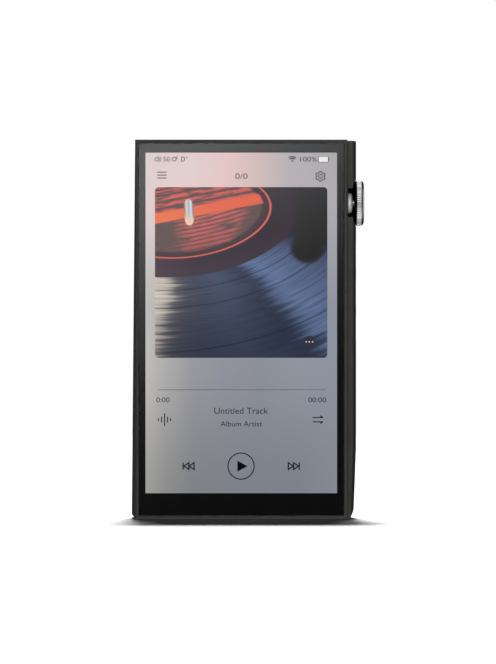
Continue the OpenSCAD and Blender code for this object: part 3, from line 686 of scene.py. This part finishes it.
def dress_nodes():
    """Gives every CAD node the material of the slot that the record names for it."""
    for part in frame["record"]["subparts"]:
        mesh = frame["nodes"][part["node"]].data
        for place in range(len(mesh.materials)):
            mesh.materials[place] = MATERIALS[part["material_slot"]]


# ---- Flat drawings on the screen ----


class Drawing:
    """Flat shapes in millimetres, x to the right and z up, that become one thin layer."""

    def __init__(self):
        self.mesh = bmesh.new()

    def fill(self, outline):
        self.mesh.faces.new([self.mesh.verts.new((x * MM, 0.0, z * MM)) for x, z in outline])

    def bar(self, x, z):
        self.fill([(x[0], z[0]), (x[1], z[0]), (x[1], z[1]), (x[0], z[1])])

    def disc(self, centre, radius, sides=32):
        self.fill(arc(centre, radius, 0.0, 360.0, sides)[:-1])

    def line(self, points, width, closed=False):
        """A stroke of even width with mitred corners."""
        count = len(points)
        rails = []
        for i, (x, z) in enumerate(points):
            back = points[i - 1] if closed or i else points[0]
            ahead = points[(i + 1) % count] if closed or i < count - 1 else points[-1]
            first = Vector((x - back[0], z - back[1])).normalized()
            second = Vector((ahead[0] - x, ahead[1] - z)).normalized()
            first = first if first.length else second
            second = second if second.length else first
            along = (first + second).normalized()
            reach = width / 2 / max(0.35, along.dot(second))
            rails.append([
                self.mesh.verts.new(((x - s * along.y * reach) * MM, 0.0, (z + s * along.x * reach) * MM))
                for s in (1, -1)
            ])
        for i in range(count if closed else count - 1):
            one, two = rails[i], rails[(i + 1) % count]
            self.mesh.faces.new([one[0], one[1], two[1], two[0]])

    def piece(self, name, material, layer):
        """Ends the drawing as a thin solid plate in one of the layers."""
        bmesh.ops.recalc_face_normals(self.mesh, faces=self.mesh.faces)
        mesh = bpy.data.meshes.new(name)
        self.mesh.to_mesh(mesh)
        self.mesh.free()
        return lay(name, mesh, material, layer)


def arc(centre, radius, start, end, steps=24):
    """Points along an arc from one angle to another, in degrees."""
    return [
        (
            centre[0] + radius * math.cos(math.radians(start + (end - start) * i / steps)),
            centre[1] + radius * math.sin(math.radians(start + (end - start) * i / steps)),
        )
        for i in range(steps + 1)
    ]


def round_rect(x, z, radius):
    """The outline of a rectangle with round corners."""
    corners = [(x[1], z[1], 0), (x[0], z[1], 90), (x[0], z[0], 180), (x[1], z[0], 270)]
    return [
        point
        for cx, cz, turn in corners
        for point in arc(
            (cx - math.copysign(radius, cx), cz + (radius if turn >= 180 else -radius)),
            radius, turn, turn + 90, 8,
        )
    ]


def lay(name, mesh, material, layer):
    """Puts a flat mesh into the gap between the panel and the glass, and fixes it to the player."""
    mesh.materials.clear()
    mesh.materials.append(material)
    piece = bpy.data.objects.new(name, mesh)
    bpy.context.scene.collection.objects.link(piece)
    piece.location.y = panel_y - (layer + 1) * LAYER_STEP
    if all(abs(v.co.y) < 1e-9 for v in mesh.vertices):
        thick = piece.modifiers.new("thickness", "SOLIDIFY")
        thick.thickness = LAYER_T
        thick.offset = 0.0
    piece.visible_diffuse = False
    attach(piece, "player")
    return piece


def words(name, body, x, z, material):
    """A word or number stretched to fit between two corners, in millimetres."""
    curve = bpy.data.curves.new(name, "FONT")
    curve.body = body
    draft = bpy.data.objects.new(name + "_draft", curve)
    bpy.context.scene.collection.objects.link(draft)
    bpy.context.view_layer.update()
    mesh = bpy.data.meshes.new_from_object(draft)
    bpy.data.objects.remove(draft)
    low = [min(v.co[i] for v in mesh.vertices) for i in (0, 1)]
    high = [max(v.co[i] for v in mesh.vertices) for i in (0, 1)]
    for v in mesh.vertices:
        across = (v.co.x - low[0]) / (high[0] - low[0])
        up = (v.co.y - low[1]) / (high[1] - low[1])
        v.co = ((x[0] + across * (x[1] - x[0])) * MM, 0.0, (z[0] + up * (z[1] - z[0])) * MM)
    return lay(name, mesh, material, MARK)


def screen_layers():
    """The background and the cover picture."""
    half = SCREEN_W / MM / 2
    bottom = SCREEN_Z / MM
    ground = Drawing()
    ground.bar((-half, half), (bottom, bottom + SCREEN_H / MM))
    ground.piece("screen_background", backdrop("screen_background"), BACKGROUND)
    cover = Drawing()
    cover.fill(round_rect((-28.05, 27.98), (52.4, 107.9), 1.25))
    cover.piece("cover_picture", record_picture("cover_picture", -17.2, 100.3), COVER)


def status_bar(pale, white):
    """Volume, two small signs, wireless and battery along the top."""
    draw = Drawing()
    # loudspeaker with two waves
    horn = [(-28.1, 116.6), (-27.6, 116.6), (-27.0, 116.1), (-27.0, 117.8), (-27.6, 117.3), (-28.1, 117.3)]
    draw.line(horn, 0.2, closed=True)
    for radius in (0.6, 1.05):
        draw.line(arc((-27.1, 116.95), radius, -50, 50, 8), 0.18)
    # a ring and a half ring with short marks beside them
    draw.line(arc((-21.8, 117.0), 0.62, 0, 360)[:-1], 0.26, closed=True)
    draw.bar((-21.1, -20.8), (117.1, 117.9))
    draw.line([(-19.4, 116.3), (-19.4, 117.7)] + arc((-19.1, 117.0), 0.7, 90, -90, 10), 0.26, closed=True)
    draw.bar((-17.9, -17.65), (117.2, 117.9))
    # wireless fan
    draw.line(arc((16.6, 116.1), 1.75, 48, 132, 12), 0.36)
    draw.line(arc((16.6, 116.1), 1.15, 48, 132, 10), 0.5)
    draw.disc((16.6, 116.35), 0.28, 16)
    # battery case
    draw.line([(25.1, 116.0), (28.3, 116.0), (28.3, 117.9), (25.1, 117.9)], 0.14, closed=True)
    draw.bar((28.37, 28.62), (116.5, 117.4))
    draw.piece("status_icons", pale, MARK)
    charge = Drawing()
    charge.bar((25.2, 28.2), (116.1, 117.8))
    charge.piece("battery_charge", white, BASE)
    words("volume_number", "50", (-25.4, -23.1), (116.2, 117.75), pale)
    words("battery_number", "100%", (19.1, 24.6), (116.2, 117.75), pale)


def title_bar(pale):
    """Menu, track count and settings."""
    menu = Drawing()
    for z in (112.75, 111.8, 110.85):
        menu.bar((-27.3, -24.3), (z - 0.16, z + 0.16))
    menu.piece("menu_icon", pale, MARK)
    words("track_count", "0/0", (-1.95, 2.05), (110.55, 112.35), pale)
    gear = Drawing()
    centre = (25.75, 111.4)
    teeth, steps = 6, 96
    wave = []
    for i in range(steps):
        turn = 2 * math.pi * i / steps
        reach = 1.43 - 0.24 * math.cos(teeth * turn)
        wave.append((centre[0] + reach * math.cos(turn), centre[1] + reach * math.sin(turn)))
    gear.line(wave, 0.3, closed=True)
    gear.line(arc(centre, 0.62, 0, 360)[:-1], 0.28, closed=True)
    gear.piece("settings_icon", pale, MARK)


def track_area(dark, grey, gold, deep, light):
    """More button, progress line, times, title, and the two side icons."""
    more = Drawing()
    more.disc((22.1, 57.6), 1.9)
    more.piece("more_button", deep, BASE)
    dots = Drawing()
    for x in (21.1, 22.15, 23.2):
        dots.disc((x, 57.6), 0.24, 16)
    dots.piece("more_dots", light, MARK)
    line = Drawing()
    line.bar((-27.6, 27.6), (41.9, 42.1))
    line.piece("progress_line", grey, BASE)
    knob = Drawing()
    knob.disc((-27.5, 42.0), 0.5)
    knob.piece("progress_dot", gold, MARK)
    words("time_passed", "0:00", (-27.6, -23.3), (37.95, 39.55), dark)
    words("time_total", "00:00", (21.8, 27.55), (37.95, 39.55), dark)
    words("track_title", "Untitled Track", (-8.75, 8.75), (34.2, 36.2), dark)
    words("track_artist", "Album Artist", (-6.75, 6.75), (30.1, 31.8), dark)
    levels = Drawing()
    for i, half in enumerate((0.42, 0.95, 2.1, 0.95, 0.45)):
        x = -26.9 + i * 0.98
        levels.bar((x - 0.17, x + 0.17), (32.3 - half, 32.3 + half))
    levels.piece("levels_icon", dark, MARK)
    order = Drawing()
    for z, side in ((33.0, 1), (31.6, -1)):
        order.line([(23.2, z), (26.6, z)], 0.34)
        order.fill([(25.7, z), (26.8, z), (25.7, z + side * 0.8)])
    order.piece("play_order_icon", dark, MARK)


def transport(dark, black):
    """Previous, play and next."""
    play = Drawing()
    play.line(arc((-0.07, 17.2), 4.25, 0, 360, 72)[:-1], 0.36, closed=True)
    play.piece("play_ring", dark, MARK)
    mark = Drawing()
    mark.fill([(-1.25, 15.4), (2.0, 17.2), (-1.25, 19.0)])
    mark.piece("play_mark", black, MARK)
    for name, middle, side in (("previous_icon", -17.15, -1), ("next_icon", 17.1, 1)):
        skip = Drawing()
        for shift in (-1.8, -0.1):
            base = middle + side * shift
            skip.line([(base, 16.1), (base + side * 1.6, 17.2), (base, 18.3)], 0.42, closed=True)
        bar_x = middle + side * 1.75
        skip.bar((bar_x - 0.2, bar_x + 0.2), (16.05, 18.35))
        skip.piece(name, dark, MARK)


def screen():
    """Everything that the lit screen shows, and the colours that its signs are drawn in."""
    dark = ink("screen_dark", srgb(28, 32, 42))
    pale = ink("screen_pale", srgb(62, 56, 60))
    grey = ink("screen_grey", srgb(92, 92, 98))
    black = ink("screen_black", srgb(6, 8, 14))
    gold = ink("screen_gold", srgb(190, 174, 132))
    light = ink("screen_light", srgb(206, 206, 210))
    white = ink("screen_white", srgb(232, 232, 232))
    deep = ink("screen_deep", srgb(48, 51, 62))
    screen_layers()
    status_bar(pale, white)
    title_bar(pale)
    track_area(dark, grey, gold, deep, light)
    transport(dark, black)


# ---- Small details ----


def usb_contacts():
    """Gold pads on both faces of the tongue in the USB-C socket."""
    low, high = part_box("usb_c_tongue")
    pad = bmesh.new()
    count, pitch = 12, 0.5 * MM
    upper = high.z - 0.4 * MM
    for side in (-1, 1):
        for i in range(count):
            x = (i - (count - 1) / 2) * pitch
            face_y = (low.y + high.y) / 2 + side * 0.35 * MM
            # every third contact reaches further down
            lower = high.z - (3.6 if i % 3 else 4.2) * MM
            made = bmesh.ops.create_cube(pad, size=1.0)["verts"]
            centre = Vector((x, face_y, (lower + upper) / 2))
            size = Vector((0.25 * MM, 0.06 * MM, upper - lower))
            for v in made:
                v.co = Vector(v.co[k] * size[k] for k in range(3)) + centre
    bmesh.ops.bevel(pad, geom=pad.edges[:], offset=0.015 * MM, segments=1, affect="EDGES")
    mesh = bpy.data.meshes.new("usb_contacts")
    pad.to_mesh(mesh)
    pad.free()
    mesh.materials.append(MATERIALS["gold_plate"])
    piece = bpy.data.objects.new("usb_contacts", mesh)
    bpy.context.scene.collection.objects.link(piece)
    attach(piece, "player")


# ---- Studio ----


def card(name, size, place, aim, strength, only=None, without=()):
    """An area light that faces a point. It may light only one group, or skip some objects."""
    light = bpy.data.lights.new(name, "AREA")
    light.shape = "RECTANGLE"
    light.size, light.size_y = size
    light.energy = strength * math.pi * size[0] * size[1]
    lamp = bpy.data.objects.new(name, light)
    bpy.context.scene.collection.objects.link(lamp)
    lamp.location = place
    lamp.rotation_euler = (Vector(aim) - Vector(place)).to_track_quat("-Z", "Y").to_euler()
    lamp.visible_camera = False
    link_light(lamp, only, without)


def link_light(lamp, only, without):
    """Limits what a lamp lights: only some objects, or all but some."""
    if only is None and not without:
        return
    group = bpy.data.collections.new(lamp.name + "_group")
    for target in only or without:
        group.objects.link(target)
    if only is None:
        for member in group.collection_objects:
            member.light_linking.link_state = "EXCLUDE"
    lamp.light_linking.receiver_collection = group


def glowing_board(name, half, place, node, tint, strength):
    """A flat board that shines, faces the player from the front or behind, and that only one node mirrors.

    tint is a function that gives its colour.
    """
    mesh = bpy.data.meshes.new(name)
    half_w, half_h = half
    corners = [(-half_w, 0, -half_h), (half_w, 0, -half_h), (half_w, 0, half_h), (-half_w, 0, half_h)]
    mesh.from_pydata(corners, [], [(0, 1, 2, 3) if place[1] > 0 else (0, 3, 2, 1)])
    n = Nodes(name)
    emission = n.add("Emission", {"Color": tint(n), "Strength": strength})
    mesh.materials.append(n.finish(emission.outputs[0]))
    board = bpy.data.objects.new(name, mesh)
    bpy.context.scene.collection.objects.link(board)
    board.location = place
    board.visible_camera = False
    board.visible_shadow = False
    link_light(board, [frame["nodes"][node]], ())
    return board


def glass_card():
    """A big card behind the camera that only the cover glass mirrors, bright at its top left."""
    behind = 0.4
    # seen in the glass, the card grows by this much from the glass to its own plane
    spread = (2 * VIEW_DISTANCE + behind) / VIEW_DISTANCE

    def tint(n):
        x, _, z = n.axes()
        return reflected(n, x + VIEW_X / MM, z + VIEW_Z / MM)

    place = (VIEW_X, front_y - VIEW_DISTANCE - behind, VIEW_Z)
    board = glowing_board("glass_card", (0.1, 0.12), place, "cover_glass", tint, REFLECTION / GLASS_MIRROR)
    board.scale = (spread, 1.0, spread)


def rear_card():
    """A big card behind the player, with soft light and dark patches, that only the rear glass mirrors."""

    def tint(n):
        patches = n.noise(520.0, detail=0.0, stretch=(1.0, 1.0, 0.6))
        return n.mix(patches.step(0.36, 0.62), (0.1, 0.1, 0.1, 1.0), WHITE)

    glowing_board("rear_card", (2.5, 1.3), (0.0, 1.9, 0.1), "rear_cover", tint, 0.65)


def floor():
    """A plain pale floor, only as large as its lamp lights evenly."""
    mesh = bpy.data.meshes.new("floor")
    sides = 96
    turns = [2 * math.pi * i / sides for i in range(sides)]
    rim = [
        (FLOOR_RADIUS * math.cos(turn), FLOOR_CENTRE_Y + FLOOR_RADIUS * math.sin(turn), 0.0)
        for turn in turns
    ]
    mesh.from_pydata(rim, [], [tuple(range(sides))])
    n = Nodes("floor")
    grain = n.noise(3.0, detail=3.0)
    shader = n.add("BsdfPrincipled", {
        "Base Color": n.mix(grain, srgb(242, 242, 242), srgb(248, 248, 248)),
        "Roughness": 0.9 + 0.08 * grain,
        "Specular IOR Level": 0.0,
        "Normal": n.bump(grain, 0.01),
    })
    mesh.materials.append(n.finish(shader.outputs[0]))
    ground = bpy.data.objects.new("floor", mesh)
    bpy.context.scene.collection.objects.link(ground)
    # the glass and the metal mirror the cards, and not the floor
    ground.visible_glossy = False
    ground.visible_shadow = False
    return ground


def world():
    """White to the camera, a faint grey in reflections and almost nothing for the rest."""
    sky = bpy.data.worlds.new("studio")
    sky.use_nodes = True
    tree = sky.node_tree
    tree.nodes.clear()
    path = tree.nodes.new("ShaderNodeLightPath")
    output = tree.nodes.new("ShaderNodeOutputWorld")
    shader = None
    for ray, level in ((None, 0.016), ("Is Glossy Ray", 0.04), ("Is Camera Ray", 1.0)):
        ground = tree.nodes.new("ShaderNodeBackground")
        ground.inputs["Color"].default_value = (level, level, level, 1.0)
        if ray:
            pick = tree.nodes.new("ShaderNodeMixShader")
            tree.links.new(path.outputs[ray], pick.inputs[0])
            tree.links.new(shader, pick.inputs[1])
            tree.links.new(ground.outputs[0], pick.inputs[2])
            ground = pick
        shader = ground.outputs[0]
    tree.links.new(shader, output.inputs["Surface"])
    bpy.context.scene.world = sky


def floor_light(light, ground, place, turn=(0.0, 0.0, 0.0)):
    """Puts a lamp in the scene that lights only the floor."""
    lamp = bpy.data.objects.new(light.name, light)
    bpy.context.scene.collection.objects.link(lamp)
    lamp.rotation_euler = [math.radians(angle) for angle in turn]
    lamp.location = place
    link_light(lamp, [ground], ())


def floor_lights(ground):
    """A round lamp above and behind the player, whose light doesn't fade with distance, and three suns."""
    light = bpy.data.lights.new("floor_lamp", "POINT")
    light.energy = FLOOR_LAMP_POWER
    light.shadow_soft_size = FLOOR_LAMP_RADIUS
    light.use_nodes = True
    tree = light.node_tree
    falloff = tree.nodes.new("ShaderNodeLightFalloff")
    falloff.inputs["Strength"].default_value = 1.0
    tree.links.new(falloff.outputs["Constant"], tree.nodes["Emission"].inputs["Strength"])
    floor_light(light, ground, FLOOR_LAMP_PLACE)
    for i, (lean, energy) in enumerate(SUNS):
        sun = bpy.data.lights.new(f"back_sun_{i}", "SUN")
        sun.energy = energy
        sun.angle = math.radians(SUN_WIDTH)
        floor_light(sun, ground, (0.0, 0.6, 1.6), (SUN_TILT, lean, 0.0))


def studio(layers):
    """The floor, the backdrop and the lights, most of which light only a part of the player.

    The layers of the screen's picture shine by themselves, and no card lights them.
    """
    ground = floor()
    world()
    glass_card()
    nodes = frame["nodes"]
    bright = [nodes[name] for name in ("knob_head", "knob_inlay", "knob_bushing")]
    behind_glass = ["cover_glass", "glass_tape", "display_panel"]
    skip = [ground] + [nodes[name] for name in behind_glass] + layers
    middle = (0.0, 0.0, middle_z)
    floor_lights(ground)
    card("front_card", (1.3, 1.5), (0.2, -2.2, 0.25), middle, 2.6, without=skip + bright)
    card("top_card", (0.9, 0.9), (0.0, -0.2, 1.0), middle, 0.6, without=skip)
    # dim walls of light at the sides, behind and below
    card("right_wall", (1.6, 2.6), (1.7, 0.3, 0.1), (0.0, 0.3, 0.1), 0.85, without=skip)
    card("right_rear_wall", (1.5, 2.6), (1.7, 1.85, 0.1), (0.0, 1.85, 0.1), 0.25, without=skip)
    card("left_wall", (2.9, 2.6), (-1.7, -0.35, 0.1), (0.0, -0.35, 0.1), 0.42, without=skip + bright)
    rear_card()
    card("low_card", (3.0, 3.0), (0.0, 0.3, -1.3), (0.0, 0.3, 0.0), 0.7, without=skip + bright)
    # the knob's bright metal mirrors cards of its own: in front above and below, behind and underneath
    card("knob_card", (0.6, 1.5), (0.15, -1.0, 0.75), middle, 1.15, only=bright)
    card("knob_low_card", (0.8, 1.3), (0.1, -1.1, -0.5), middle, 0.55, only=bright)
    card("collar_card", (0.8, 0.8), (0.1, -1.2, 0.1), middle, 3.4, only=[nodes["knob_bushing"]])
    card("knob_rear_card", (1.0, 1.6), (-0.2, 1.6, 0.5), middle, 0.7, only=bright)
    card("knob_floor_card", (0.8, 0.9), (0.1, -0.2, -0.8), middle, 0.6, only=bright)


def camera():
    """Straight on, level with the middle of the frame that it sees."""
    data = bpy.data.cameras.new("camera")
    data.sensor_width = SENSOR
    data.lens = SENSOR * VIEW_DISTANCE / VIEW_SPAN
    data.clip_start = 0.05
    data.clip_end = 20.0
    eye = bpy.data.objects.new("camera", data)
    bpy.context.scene.collection.objects.link(eye)
    eye.location = (VIEW_X, front_y - VIEW_DISTANCE, VIEW_Z)
    eye.rotation_euler = (math.radians(90), 0.0, 0.0)
    bpy.context.scene.camera = eye


bpy.context.scene.view_settings.view_transform = "Standard"
bpy.context.scene.cycles.use_denoising = True
camera()
dress_nodes()
screen()
meshes = [piece for piece in bpy.context.scene.objects if piece.type == "MESH"]
layers = [piece for piece in meshes if piece.name not in frame["nodes"]]
usb_contacts()
studio(layers)
